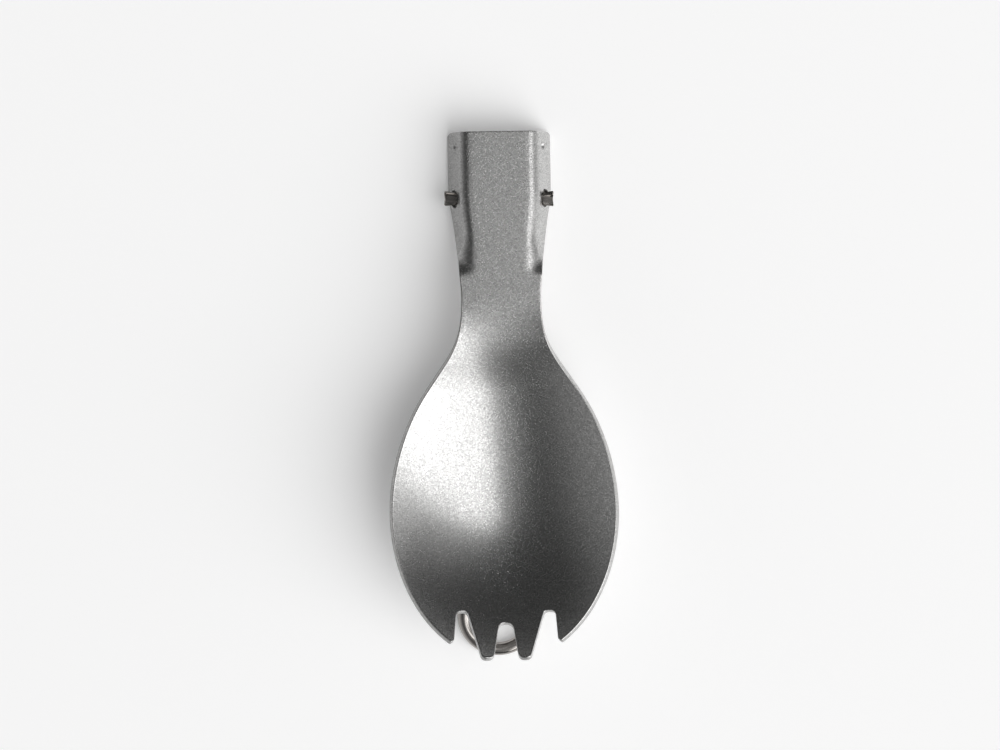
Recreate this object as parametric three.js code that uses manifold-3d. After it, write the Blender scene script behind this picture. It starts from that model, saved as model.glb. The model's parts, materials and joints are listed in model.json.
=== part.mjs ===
// Folding spork: one pressed titanium sheet with bowl, tines, neck and channel, and one bent titanium wire
// whose ends are its own hinge pins. Lengths are in millimetres and angles in degrees. The spork lies folded,
// as it rests on a table: X across, the tines toward -Y, Z up, the origin on the table under its middle.
import * as THREE from 'three';
import { mergeVertices } from 'three/addons/utils/BufferGeometryUtils.js';
import Module from 'manifold-3d';

const wasm = await Module();
wasm.setup();

// The sheet of the head
const SHEET = 1.0;
const HEAD_LENGTH = 92.25;

// The channel, along the head from its free end
const CHANNEL_WIDTH = 18.2;
const CHANNEL_FLAT = 10.4;
const NECK_FLAT = 9.0;
const FLAT_TAPER_START = 10.4;
const BEND_RADIUS = 2.2;
const FLANGE_ANGLE = 67;
const FLANGE_CORNER = 0.86;
const FLANGE_FULL_LENGTH = 12.0;
const FLANGE_TAPER_ANGLE = 15.6;
const FLANGE_TAPER_LEAD = 3.6;
const BEND_FULL_LENGTH = 20.0;
const BEND_FADE_LENGTH = 7.2;

// The neck
const NECK_WIDTH = 14.04;
const NECK_START = 28.5;
const NECK_LEAD = 0.9;
const NECK_END = 29.0;

// The bowl
const BOWL_WIDTH = 39.24;
const BOWL_DEPTH = 8.0;
const BOWL_ONSET_SHARE = 0.75;
const BOWL_WIDEST = 66.9;
const TIP_CROWN = 0.45;
const SHOULDER_PLACE = 46.0;
const SHOULDER_WIDTH = 26.8;
const SHOULDER_ANGLE = 33.3;
const SHOULDER_LEAD_BACK = 6.8;
const SHOULDER_LEAD_FRONT = 6.5;
const NECK_LEAD_BOWL = 9.0;
const WIDEST_LEAD = 6.4;
const RIM_DROP = 2.6;
const RIM_DROP_START = 34.6;
const RIM_DROP_LENGTH = 11.2;
const RIM_RISE = 3.0;

// The tines and their slots
const CENTRE_SLOT_WIDTH = 2.4;
const CENTRE_SLOT_MOUTH = 4.3;
const CENTRE_SLOT_DEPTH = 5.88;
const CENTRE_ROOT_RADIUS = 1.1;
const SIDE_SLOT_WIDTH = 1.95;
const SIDE_SLOT_PLACE = 7.72;
const SIDE_SLOT_DEPTH = 8.0;
const SIDE_ROOT_RADIUS = 0.9;
const INNER_TINE_TIP_WIDTH = 2.1;
const INNER_TINE_TIP_RADIUS = 1.0;
const OUTER_TINE_EDGE = 9.05;
const OUTER_TIP_SETBACK = 0.79;
const OUTER_TIP_RADIUS = 0.35;
const OUTER_TIP_CHAMFER = 1.1;
const OUTER_TIP_ANGLE = 38;

// The hinge holes and the dimples in the flanges
const HINGE_PLACE = 11.75;
const HINGE_DROP = 3.45;
const HINGE_CLEARANCE = 0.35;
const DIMPLE_PLACE = 3.1;
const DIMPLE_WIDTH = 1.6;
const DIMPLE_DEPTH = 0.4;
const DIMPLE_BUMP = 0.35;
const DIMPLE_ROOT = 0.3;

// The wire handle
const WIRE = 2.4;
const HANDLE_REACH = 82.4;
const LOOP_WIDTH = 14.6;
const LEG_SPREAD = 9.0;
const WIRE_BEND_RADIUS = 2.4;
const HEAD_SPAN = 19.3;
const STAKE_LENGTH = 0.95;
const STAKE_FLARE = 0.6;
const STAKE_HEIGHT = 3.5;
const STAKE_THICKNESS = 2.5;
const STAKE_EDGE = 0.12;
const LEG_CLEARANCE = 0.3;
const HANDLE_SHIFT = 0.15;
const HANDLE_SKEW = 0.9;

// How far a cutting body reaches past what it cuts
const OVERRUN = 1.0;
const BACK_OVERRUN = 3.0;

// How closely places on curves and slopes of the pressed form are worked out
const CURVE_PRECISION = 1e-7;
const SLOPE_STEP = 0.01;

// How finely curves are faceted
const CHANNEL_ROWS = 4;
const TAPER_ROWS = 12;
const NECK_ROWS = 24;
const TIP_ROWS = 20;
const CORNER_ROWS = 4;
const FLAT_COLUMNS = 3;
const BEND_COLUMNS = 6;
const FLANGE_COLUMNS = 4;
const ARC_STEPS = 6;
const HOLE_SIDES = 32;
const DIMPLE_SIDES = 16;
const DIMPLE_RINGS = 4;
const WIRE_SIDES = 16;
const LOOP_STEPS = 24;
const BEND_STEPS = 6;
const LEG_SAMPLES = 60;

const radians = THREE.MathUtils.degToRad;
const { lerp, clamp, smoothstep } = THREE.MathUtils;

// The half outline of the head's top face, as its half width at each place along the head

const taperFall = FLANGE_TAPER_LEAD * Math.tan(radians(FLANGE_TAPER_ANGLE));
const shoulderSlope = Math.tan(radians(SHOULDER_ANGLE));
const shoulderBack = { along: SHOULDER_PLACE - SHOULDER_LEAD_BACK, rise: -SHOULDER_LEAD_BACK * shoulderSlope };
const shoulderFront = { along: SHOULDER_PLACE + SHOULDER_LEAD_FRONT, rise: SHOULDER_LEAD_FRONT * shoulderSlope };
const halfWidths = {
  channel: CHANNEL_WIDTH / 2,
  neck: NECK_WIDTH / 2,
  shoulder: SHOULDER_WIDTH / 2,
  bowl: BOWL_WIDTH / 2,
};
const tipReach = HEAD_LENGTH + TIP_CROWN - BOWL_WIDEST;
const taperLead = FLANGE_FULL_LENGTH + FLANGE_TAPER_LEAD;
const outline = [
  new THREE.CubicBezierCurve(
    new THREE.Vector2(FLANGE_FULL_LENGTH, halfWidths.channel),
    new THREE.Vector2(taperLead, halfWidths.channel - taperFall),
    new THREE.Vector2(NECK_START - NECK_LEAD, halfWidths.neck),
    new THREE.Vector2(NECK_START, halfWidths.neck),
  ),
  new THREE.CubicBezierCurve(
    new THREE.Vector2(NECK_END, halfWidths.neck),
    new THREE.Vector2(NECK_END + NECK_LEAD_BOWL, halfWidths.neck),
    new THREE.Vector2(shoulderBack.along, halfWidths.shoulder + shoulderBack.rise),
    new THREE.Vector2(SHOULDER_PLACE, halfWidths.shoulder),
  ),
  new THREE.CubicBezierCurve(
    new THREE.Vector2(SHOULDER_PLACE, halfWidths.shoulder),
    new THREE.Vector2(shoulderFront.along, halfWidths.shoulder + shoulderFront.rise),
    new THREE.Vector2(BOWL_WIDEST - WIDEST_LEAD, halfWidths.bowl),
    new THREE.Vector2(BOWL_WIDEST, halfWidths.bowl),
  ),
];

// The height of a curve, drawn from left to right, over a place on its base line
function curveAt(curve, place) {
  let low = 0;
  let high = 1;
  while (high - low > CURVE_PRECISION) {
    const middle = (low + high) / 2;
    if (curve.getPoint(middle).x < place) low = middle;
    else high = middle;
  }
  return curve.getPoint(low).y;
}

function halfWidth(along) {
  if (along < FLANGE_CORNER) {
    const short = FLANGE_CORNER - Math.max(along, 0);
    return halfWidths.channel - FLANGE_CORNER + Math.sqrt(FLANGE_CORNER ** 2 - short ** 2);
  }
  if (along <= FLANGE_FULL_LENGTH) return halfWidths.channel;
  if (along < NECK_START) return curveAt(outline[0], along);
  if (along <= NECK_END) return halfWidths.neck;
  if (along < SHOULDER_PLACE) return curveAt(outline[1], along);
  if (along < BOWL_WIDEST) return curveAt(outline[2], along);
  const share = Math.min((along - BOWL_WIDEST) / tipReach, 1);
  return halfWidths.bowl * Math.sqrt(1 - share ** 2);
}

// The pressed form: how high the top face lies over the plane of the channel's flat

function flangeAngle(along) {
  const fade = smoothstep(along, BEND_FULL_LENGTH, BEND_FULL_LENGTH + BEND_FADE_LENGTH);
  return radians(FLANGE_ANGLE) * (1 - fade);
}

function flatHalf(along) {
  return lerp(CHANNEL_FLAT, NECK_FLAT, smoothstep(along, FLAT_TAPER_START, BEND_FULL_LENGTH)) / 2;
}

function flangeDrop(across, along) {
  const angle = flangeAngle(along);
  const past = across - flatHalf(along);
  const bend = BEND_RADIUS * Math.sin(angle);
  if (past <= 0) return 0;
  if (past < bend) return BEND_RADIUS - Math.sqrt(BEND_RADIUS ** 2 - past ** 2);
  return BEND_RADIUS * (1 - Math.cos(angle)) + (past - bend) * Math.tan(angle);
}

function rimHeight(along) {
  const drop = smoothstep(along, RIM_DROP_START, RIM_DROP_START + RIM_DROP_LENGTH);
  const rise = Math.max(along - BOWL_WIDEST, 0) / tipReach;
  return RIM_RISE * rise ** 2 - RIM_DROP * drop;
}

function bowlDepth(across, along) {
  if (along >= BOWL_WIDEST) {
    const reach = (along - BOWL_WIDEST) / tipReach;
    return BOWL_DEPTH * (1 - reach ** 2 - (across / halfWidths.bowl) ** 2);
  }
  if (along <= NECK_END) return 0;
  const width = halfWidth(along);
  const share = (width ** 2 - halfWidths.neck ** 2) / (halfWidths.bowl ** 2 - halfWidths.neck ** 2);
  return BOWL_DEPTH * Math.max(share, 0) ** BOWL_ONSET_SHARE * (1 - (across / width) ** 2);
}

function topHeight(x, y) {
  return rimHeight(-y) - bowlDepth(Math.abs(x), -y) - flangeDrop(Math.abs(x), -y);
}

function topNormal(x, y) {
  const slopeX = (topHeight(x + SLOPE_STEP, y) - topHeight(x - SLOPE_STEP, y)) / (2 * SLOPE_STEP);
  const slopeY = (topHeight(x, y + SLOPE_STEP) - topHeight(x, y - SLOPE_STEP)) / (2 * SLOPE_STEP);
  return new THREE.Vector3(-slopeX, -slopeY, 1).normalize();
}

// A point of the flat blank at some height over its top face, taken along as the press forms the sheet
function pressed(x, y, height) {
  return new THREE.Vector3(x, y, topHeight(x, y)).addScaledVector(topNormal(x, y), height);
}

// Conversions between three.js geometry and solids that can be joined and cut

function solidOf(geometry) {
  geometry.deleteAttribute('normal');
  geometry.deleteAttribute('uv');
  const merged = mergeVertices(geometry);
  const vertProperties = new Float32Array(merged.attributes.position.array);
  const triVerts = new Uint32Array(merged.index.array);
  return new wasm.Manifold(new wasm.Mesh({ numProp: 3, vertProperties, triVerts }));
}

function geometryOf(solid) {
  const mesh = solid.getMesh();
  const geometry = new THREE.BufferGeometry();
  geometry.setAttribute('position', new THREE.BufferAttribute(mesh.vertProperties, 3));
  geometry.setIndex(new THREE.BufferAttribute(mesh.triVerts, 1));
  geometry.computeVertexNormals();
  return geometry;
}

function geometryFrom(points, triangles) {
  const geometry = new THREE.BufferGeometry().setFromPoints(points);
  geometry.setIndex(triangles);
  return geometry;
}

// The sheet: rows of points across the head on its top face, and the same rows one thickness lower

function rowPlaces() {
  const places = [];
  for (let i = 0; i < CORNER_ROWS; i++) {
    places.push(FLANGE_CORNER * (1 - Math.cos((i / CORNER_ROWS) * (Math.PI / 2))));
  }
  for (let i = 0; i < CHANNEL_ROWS; i++) {
    places.push(lerp(FLANGE_CORNER, FLANGE_FULL_LENGTH, i / CHANNEL_ROWS));
  }
  for (let i = 0; i < TAPER_ROWS; i++) places.push(lerp(FLANGE_FULL_LENGTH, NECK_START, i / TAPER_ROWS));
  for (let i = 0; i < NECK_ROWS; i++) places.push(lerp(NECK_START, BOWL_WIDEST, i / NECK_ROWS));
  for (let i = 0; i <= TIP_ROWS; i++) {
    places.push(BOWL_WIDEST + tipReach * Math.sin((i / TIP_ROWS) * (Math.PI / 2)));
  }
  return places;
}

// Half a row: its points lie on the flat, the bend and the flange of the channel, and evenly in the bowl
function halfRow(along) {
  const width = halfWidth(along);
  const bend = BEND_RADIUS * Math.sin(flangeAngle(along));
  const flat = flatHalf(along);
  const stops = [0];
  for (let i = 1; i <= FLAT_COLUMNS; i++) stops.push((flat * i) / FLAT_COLUMNS);
  for (let i = 1; i <= BEND_COLUMNS; i++) {
    stops.push(flat + bend * Math.sin((i / BEND_COLUMNS) * (Math.PI / 2)));
  }
  for (let i = 1; i <= FLANGE_COLUMNS; i++) stops.push(lerp(flat + bend, width, i / FLANGE_COLUMNS));
  const even = smoothstep(along, BEND_FULL_LENGTH - BEND_FADE_LENGTH / 2, NECK_END);
  return stops.map((stop, i) => lerp(stop, (width * i) / (stops.length - 1), even));
}

function sheetSolid() {
  const rows = rowPlaces().map((along) => {
    const half = halfRow(along);
    const mirrored = half.slice(1).reverse().map((x) => -x);
    return [...mirrored, ...half].map((x) => [x, -along]);
  });
  const columns = rows[0].length;
  const points = [];
  for (const height of [0, -SHEET]) {
    for (const row of rows) points.push(...row.map(([x, y]) => pressed(x, y, height)));
  }
  const lower = rows.length * columns;
  const triangles = [];
  const quad = (a, b, c, d) => triangles.push(a, b, c, a, c, d);
  for (let r = 0; r + 1 < rows.length; r++) {
    for (let c = 0; c + 1 < columns; c++) {
      const a = r * columns + c;
      quad(a, a + columns, a + columns + 1, a + 1);
      quad(lower + a + 1, lower + a + columns + 1, lower + a + columns, lower + a);
    }
    const left = r * columns;
    const right = left + columns - 1;
    quad(left, lower + left, lower + left + columns, left + columns);
    quad(right, right + columns, lower + right + columns, lower + right);
  }
  for (let c = 0; c + 1 < columns; c++) quad(c, c + 1, lower + c + 1, lower + c);
  return solidOf(withoutSlivers(geometryFrom(points, triangles)));
}

// Rows that close to a point leave triangles with no area, which merging the points shows up
function withoutSlivers(geometry) {
  const merged = mergeVertices(geometry);
  const index = merged.index.array;
  const kept = [];
  for (let i = 0; i < index.length; i += 3) {
    const [a, b, c] = index.slice(i, i + 3);
    if (a !== b && b !== c && c !== a) kept.push(a, b, c);
  }
  merged.setIndex(kept);
  return merged;
}

// A closed path with rounded corners, from corners given as place and radius
function roundedPoints(corners) {
  const points = [];
  corners.forEach(({ at, radius }, i) => {
    const before = corners[(i + corners.length - 1) % corners.length].at;
    const after = corners[(i + 1) % corners.length].at;
    if (!radius) {
      points.push(at);
      return;
    }
    const toBefore = before.clone().sub(at).normalize();
    const toAfter = after.clone().sub(at).normalize();
    const half = Math.acos(clamp(toBefore.dot(toAfter), -1, 1)) / 2;
    const middle = toBefore.clone().add(toAfter).normalize();
    const centre = at.clone().addScaledVector(middle, radius / Math.sin(half));
    const start = at.clone().addScaledVector(toBefore, radius / Math.tan(half)).sub(centre);
    const turn = (Math.PI - 2 * half) * Math.sign(toBefore.cross(toAfter)) * -1;
    for (let step = 0; step <= ARC_STEPS; step++) {
      points.push(start.clone().rotateAround(new THREE.Vector2(), (turn * step) / ARC_STEPS).add(centre));
    }
  });
  return points;
}

// How far along the head the slot's edge of an outer tine ends, just short of the rim
function outerTineTip() {
  const share = OUTER_TINE_EDGE / halfWidths.bowl;
  return BOWL_WIDEST + tipReach * Math.sqrt(1 - share ** 2) - OUTER_TIP_SETBACK;
}

// What is blanked away between and beyond the tines, cut square to the pressed sheet
function tineCutter() {
  const corner = (x, along, radius) => ({ at: new THREE.Vector2(x, -along), radius });
  const tipInner = CENTRE_SLOT_MOUTH / 2;
  const tipOuter = tipInner + INNER_TINE_TIP_WIDTH;
  const slotInner = SIDE_SLOT_PLACE - SIDE_SLOT_WIDTH / 2;
  const slotOuter = SIDE_SLOT_PLACE + SIDE_SLOT_WIDTH / 2;
  const centreRoot = HEAD_LENGTH - CENTRE_SLOT_DEPTH;
  const sideRoot = HEAD_LENGTH - SIDE_SLOT_DEPTH;
  const chamferEnd = OUTER_TINE_EDGE + OUTER_TIP_CHAMFER;
  const outerTip = outerTineTip();
  const chamferRise = OUTER_TIP_CHAMFER * Math.tan(radians(OUTER_TIP_ANGLE));
  const right = [
    corner(CENTRE_SLOT_WIDTH / 2, centreRoot, CENTRE_ROOT_RADIUS),
    corner(tipInner, HEAD_LENGTH, INNER_TINE_TIP_RADIUS),
    corner(tipOuter, HEAD_LENGTH, INNER_TINE_TIP_RADIUS),
    corner(slotInner, sideRoot, SIDE_ROOT_RADIUS),
    corner(slotOuter, sideRoot, SIDE_ROOT_RADIUS),
    corner(OUTER_TINE_EDGE, outerTip, OUTER_TIP_RADIUS),
    corner(chamferEnd, outerTip + chamferRise, 0),
    corner(chamferEnd + OVERRUN, BOWL_WIDEST + tipReach + OVERRUN, 0),
  ];
  const left = right.map(({ at, radius }) => corner(-at.x, -at.y, radius)).reverse();
  const shape = new THREE.Shape(roundedPoints([...left, ...right]));
  const depth = BACK_OVERRUN + SHEET + OVERRUN;
  const cutter = new THREE.ExtrudeGeometry(shape, { depth, steps: 1, bevelEnabled: false });
  const places = cutter.attributes.position;
  for (let i = 0; i < places.count; i++) {
    const height = places.getZ(i) - SHEET - BACK_OVERRUN;
    places.setXYZ(i, ...pressed(places.getX(i), places.getY(i), height).toArray());
  }
  return solidOf(cutter);
}

// Where the hinge axis crosses a flange's outer face
function flangeFace(drop) {
  const angle = radians(FLANGE_ANGLE);
  const bendDrop = BEND_RADIUS * (1 - Math.cos(angle));
  return CHANNEL_FLAT / 2 + BEND_RADIUS * Math.sin(angle) + (drop - bendDrop) / Math.tan(angle);
}

function hingeBore() {
  const bore = new THREE.CylinderGeometry(WIRE / 2 + HINGE_CLEARANCE, WIRE / 2 + HINGE_CLEARANCE,
    CHANNEL_WIDTH + 2 * OVERRUN, HOLE_SIDES);
  bore.rotateZ(Math.PI / 2).translate(0, -HINGE_PLACE, -HINGE_DROP);
  return solidOf(bore);
}

// A spherical cap on a short root, its round side up, closed on its axis
function capGeometry(width, height, root) {
  const radius = ((width / 2) ** 2 + height ** 2) / (2 * height);
  const spread = Math.asin(width / 2 / radius);
  const profile = [new THREE.Vector2(0, -root), new THREE.Vector2(width / 2, -root)];
  for (let i = DIMPLE_RINGS; i > 0; i--) {
    const angle = (spread * i) / DIMPLE_RINGS;
    profile.push(new THREE.Vector2(radius * Math.sin(angle), height - radius * (1 - Math.cos(angle))));
  }
  profile.push(new THREE.Vector2(0, height));
  return new THREE.LatheGeometry(profile, DIMPLE_SIDES);
}

// The dent outside a flange and the bump that it raises inside
function dimple(side) {
  const angle = radians(FLANGE_ANGLE);
  const outward = new THREE.Vector3(side * Math.sin(angle), 0, Math.cos(angle));
  const inward = outward.clone().negate();
  const outer = new THREE.Vector3(side * flangeFace(HINGE_DROP), -DIMPLE_PLACE, -HINGE_DROP);
  const inner = outer.clone().addScaledVector(inward, SHEET);
  const turn = new THREE.Quaternion().setFromUnitVectors(new THREE.Vector3(0, 1, 0), inward);
  const place = (geometry, at) => solidOf(geometry.applyQuaternion(turn).translate(at.x, at.y, at.z));
  return {
    dent: place(capGeometry(DIMPLE_WIDTH, DIMPLE_DEPTH, DIMPLE_ROOT), outer),
    bump: place(capGeometry(DIMPLE_WIDTH, DIMPLE_BUMP, DIMPLE_ROOT), inner),
  };
}

function headGeometry() {
  const dimples = [dimple(-1), dimple(1)];
  let head = sheetSolid();
  head = head.subtract(tineCutter());
  for (const { bump } of dimples) head = head.add(bump);
  for (const { dent } of dimples) head = head.subtract(dent);
  head = head.subtract(hingeBore());
  return geometryOf(head);
}

// The wire handle, about its hinge axis: its middle line as stations with their direction and section

function wireStations() {
  const radius = WIRE / 2;
  const loop = LOOP_WIDTH / 2 - radius;
  const loopPlace = HANDLE_REACH - radius - loop;
  const legPlace = LEG_SPREAD / 2;
  const splay = Math.asin(loop / Math.hypot(legPlace, loopPlace)) - Math.atan(legPlace / loopPlace);
  const turn = Math.PI / 2 + splay;
  const lead = WIRE_BEND_RADIUS * Math.tan(turn / 2);
  const stakeStart = HEAD_SPAN / 2 - STAKE_LENGTH;
  const half = [];
  const station = (x, y, heading, across = radius, up = radius) => {
    half.push({ x, y, heading, across, up });
  };
  const stake = [STAKE_THICKNESS / 2, STAKE_HEIGHT / 2];
  station(HEAD_SPAN / 2, 0, Math.PI, stake[0] - STAKE_EDGE, stake[1] - STAKE_EDGE);
  station(HEAD_SPAN / 2 - STAKE_EDGE, 0, Math.PI, ...stake);
  station(stakeStart + STAKE_FLARE, 0, Math.PI, ...stake);
  station(stakeStart, 0, Math.PI);
  for (let i = 0; i <= BEND_STEPS; i++) {
    const angle = (turn * i) / BEND_STEPS;
    const x = legPlace + lead - WIRE_BEND_RADIUS * Math.sin(angle);
    const y = -WIRE_BEND_RADIUS * (1 - Math.cos(angle));
    station(x, y, Math.PI + angle);
  }
  for (let i = 0; i <= LOOP_STEPS / 2; i++) {
    const angle = splay - (Math.PI / 2 + splay) * (i / (LOOP_STEPS / 2));
    station(loop * Math.cos(angle), loop * Math.sin(angle) - loopPlace, angle - Math.PI / 2);
  }
  const mirrored = half.slice(0, -1).reverse().map((s) => ({ ...s, x: -s.x, heading: -s.heading }));
  return [...half, ...mirrored];
}

function wireGeometry() {
  const stations = wireStations();
  const points = [];
  for (const { x, y, heading, across, up } of stations) {
    for (let i = 0; i < WIRE_SIDES; i++) {
      const angle = (2 * Math.PI * i) / WIRE_SIDES;
      const aside = across * Math.cos(angle);
      points.push(new THREE.Vector3(x - aside * Math.sin(heading), y + aside * Math.cos(heading),
        up * Math.sin(angle)));
    }
  }
  const triangles = [];
  for (let s = 0; s + 1 < stations.length; s++) {
    for (let i = 0; i < WIRE_SIDES; i++) {
      const a = s * WIRE_SIDES + i;
      const b = s * WIRE_SIDES + ((i + 1) % WIRE_SIDES);
      triangles.push(a, b, b + WIRE_SIDES, a, b + WIRE_SIDES, a + WIRE_SIDES);
    }
  }
  const last = (stations.length - 1) * WIRE_SIDES;
  for (let i = 1; i + 1 < WIRE_SIDES; i++) {
    triangles.push(0, i + 1, i);
    triangles.push(last, last + i, last + i + 1);
  }
  const geometry = geometryFrom(points, triangles);
  geometry.computeVertexNormals();
  return geometry;
}

// The folded rest: how steeply the legs run down under the bowl, and how far the head tips up on the table

const hinge = new THREE.Vector3(0, -HINGE_PLACE, -HINGE_DROP);

function legAngle() {
  const reach = HANDLE_REACH - WIRE / 2;
  const need = WIRE / 2 + LEG_CLEARANCE;
  let steepest = 0;
  for (let i = 1; i <= LEG_SAMPLES; i++) {
    const along = HINGE_PLACE + (reach * i) / LEG_SAMPLES;
    const across = lerp(LEG_SPREAD, LOOP_WIDTH - WIRE, i / LEG_SAMPLES) / 2 - HANDLE_SHIFT
      - Math.tan(radians(HANDLE_SKEW)) * (along - HINGE_PLACE);
    if (along > outerTineTip()) continue;
    const back = pressed(across, -along, -SHEET - need);
    steepest = Math.max(steepest, Math.atan2(hinge.z - back.z, hinge.y - back.y));
  }
  return steepest;
}

function tableTilt(angle) {
  const reach = HANDLE_REACH - WIRE / 2;
  const corner = pressed(halfWidths.channel, -FLANGE_CORNER, -SHEET);
  const loopPlace = hinge.y - reach * Math.cos(angle);
  const loop = new THREE.Vector3(corner.x, loopPlace, hinge.z - reach * Math.sin(angle));
  return Math.atan2(corner.z - loop.z, corner.y - loop.y) + Math.asin(WIRE / 2 / loop.distanceTo(corner));
}

const leg = legAngle();
const tilt = tableTilt(leg);

const blastedTitanium = new THREE.MeshStandardMaterial({ color: 0x8f8e8c, roughness: 0.5, metalness: 1 });
const drawnTitanium = new THREE.MeshStandardMaterial({ color: 0x8a8682, roughness: 0.2, metalness: 1 });

const head = new THREE.Mesh(headGeometry(), blastedTitanium);
head.name = 'spork_head';

const handle = new THREE.Mesh(wireGeometry(), drawnTitanium);
handle.name = 'wire_handle';
handle.position.copy(hinge).add(new THREE.Vector3(-HANDLE_SHIFT, 0, 0));
handle.rotation.set(leg, 0, -radians(HANDLE_SKEW));

const spork = new THREE.Group();
spork.add(head, handle);
spork.rotation.x = -tilt;
spork.updateMatrixWorld(true);

const box = new THREE.Box3().setFromObject(spork, true);
const group = new THREE.Group();
spork.position.set(-(box.min.x + box.max.x) / 2, -(box.min.y + box.max.y) / 2, -box.min.z);
group.add(spork);

export default group;
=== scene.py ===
"""A folding spork on a pale table: one pressed titanium head and one bent titanium wire handle, folded."""
import json
import math

import bpy
import numpy as np
from mathutils import Matrix, Vector
from mathutils.geometry import delaunay_2d_cdt


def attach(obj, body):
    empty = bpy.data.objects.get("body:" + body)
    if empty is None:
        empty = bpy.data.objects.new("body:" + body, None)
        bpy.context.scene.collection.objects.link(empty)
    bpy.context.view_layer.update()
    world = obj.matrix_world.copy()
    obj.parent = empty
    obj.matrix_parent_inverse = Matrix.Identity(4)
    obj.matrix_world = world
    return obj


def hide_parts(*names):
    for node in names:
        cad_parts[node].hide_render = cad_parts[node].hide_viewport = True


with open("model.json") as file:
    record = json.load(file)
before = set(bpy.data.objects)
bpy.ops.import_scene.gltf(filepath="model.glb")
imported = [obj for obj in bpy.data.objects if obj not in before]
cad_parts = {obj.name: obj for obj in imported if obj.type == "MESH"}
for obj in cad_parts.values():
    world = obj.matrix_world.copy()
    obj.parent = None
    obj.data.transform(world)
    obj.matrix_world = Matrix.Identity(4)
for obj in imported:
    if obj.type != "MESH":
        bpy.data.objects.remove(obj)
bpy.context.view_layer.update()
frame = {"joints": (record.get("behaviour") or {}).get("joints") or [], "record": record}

# ---- The pressed head --------------------------------------------------------------------------------
# One titanium sheet 1 mm thick, sheared and punched flat, then pressed: the press draws the bowl, leaves
# the neck flat and bends the channel's two flanges down. The head is then tumbled and blasted matt.

# Sizes are in millimetres: across from the middle, along from the channel's free end, and height over the
# flat of the channel. FLAT_TAPER, BEND_FADE and the PLACES give where, along, a change starts and ends.
MILLIMETRE = 0.001
SHEET = 1.0
HEAD_LENGTH = 92.25
CHANNEL_HALF = 9.1
CHANNEL_FLAT_HALF = 5.2
NECK_FLAT_HALF = 4.5
FLAT_TAPER = (10.4, 20.0)
BEND_RADIUS = 2.2
BEND_RADIUS_GROWTH = 1.3
BEND_GROWTH_PLACES = (17.5, 23.5)
BEND_FADE = (20.6, 25.4)
FLANGE_ANGLE = math.radians(67)
FLANGE_CORNER = 0.86
FLANGE_FULL_LENGTH = 12.0
TAPER_SLOPE = math.tan(math.radians(15.6))
NECK_HALF = 7.02
NECK_START = 28.5
NECK_END = 29.0
# The shoulder, between neck and bowl, as (along, half width).
SHOULDER = (46.0, 13.4)
SHOULDER_SLOPE = math.tan(math.radians(33.3))
BOWL_HALF = 19.62
BOWL_WIDEST = 66.9
BOWL_TIP = 25.8
BOWL_DEPTH = 8.0
BOWL_ONSET = 0.75
RIM_DROP = 2.6
RIM_DROP_PLACES = (34.6, 45.8)
RIM_RISE = 3.0
CENTRE_SLOT_ROOT = HEAD_LENGTH - 5.88
SIDE_SLOT_ROOT = HEAD_LENGTH - 8.0
HINGE_ALONG = 11.75
HINGE_DROP = 3.45
HOLE_RADIUS = 1.55
DIMPLE_ALONG = 2.6
DIMPLE_DROP = 2.6
DIMPLE_RADIUS = 0.85
DIMPLE_DEPTH = 0.5
DIMPLE_ROUNDING = 1.15
# How far the side's curves run straight on from where they meet: at the channel, at both ends of the neck,
# on both sides of the shoulder, and at the widest of the bowl.
CHANNEL_LEAD = 3.6
NECK_LEADS = (0.9, 9.0)
SHOULDER_LEADS = (6.8, 6.5)
BELLY_LEAD = 6.4


def drawn_curve(start, lead_out, lead_in, end, steps):
    """Points of one smooth edge between two places, given the two leads that set its direction."""
    share = np.linspace(0, 1, steps + 1)[:, None]
    rest = 1 - share
    corners = np.array([start, lead_out, lead_in, end], float)
    weights = np.hstack([rest**3, 3 * share * rest**2, 3 * share**2 * rest, share**3])
    return weights @ corners


def side_edge(steps):
    """The blank's side from the channel to the widest of the bowl, as (along, half width) points."""
    taper = drawn_curve(
        (FLANGE_FULL_LENGTH, CHANNEL_HALF),
        (FLANGE_FULL_LENGTH + CHANNEL_LEAD, CHANNEL_HALF - CHANNEL_LEAD * TAPER_SLOPE),
        (NECK_START - NECK_LEADS[0], NECK_HALF),
        (NECK_START, NECK_HALF),
        steps,
    )
    flare = drawn_curve(
        (NECK_END, NECK_HALF),
        (NECK_END + NECK_LEADS[1], NECK_HALF),
        (SHOULDER[0] - SHOULDER_LEADS[0], SHOULDER[1] - SHOULDER_LEADS[0] * SHOULDER_SLOPE),
        SHOULDER,
        steps,
    )
    belly = drawn_curve(
        SHOULDER,
        (SHOULDER[0] + SHOULDER_LEADS[1], SHOULDER[1] + SHOULDER_LEADS[1] * SHOULDER_SLOPE),
        (BOWL_WIDEST - BELLY_LEAD, BOWL_HALF),
        (BOWL_WIDEST, BOWL_HALF),
        steps,
    )
    return np.vstack([taper, flare, belly[1:]])


edge_table = side_edge(steps=2000)


def ease(value, start, end):
    """From 0 at the start to 1 at the end, smoothly."""
    share = np.clip((value - start) / (end - start), 0, 1)
    return share * share * (3 - 2 * share)


def flat_half(along):
    """Half the width of the flat between the two bends, which narrows a little toward the neck."""
    return CHANNEL_FLAT_HALF + (NECK_FLAT_HALF - CHANNEL_FLAT_HALF) * ease(along, *FLAT_TAPER)


def bend_angle(along):
    """How steeply the flange has been bent down, which fades to nothing at the neck."""
    return FLANGE_ANGLE * (1 - ease(along, *BEND_FADE))


def bend_radius(along):
    """The bend is sharp along the channel and grows rounder near the neck."""
    return BEND_RADIUS + BEND_RADIUS_GROWTH * ease(along, *BEND_GROWTH_PLACES)


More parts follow.
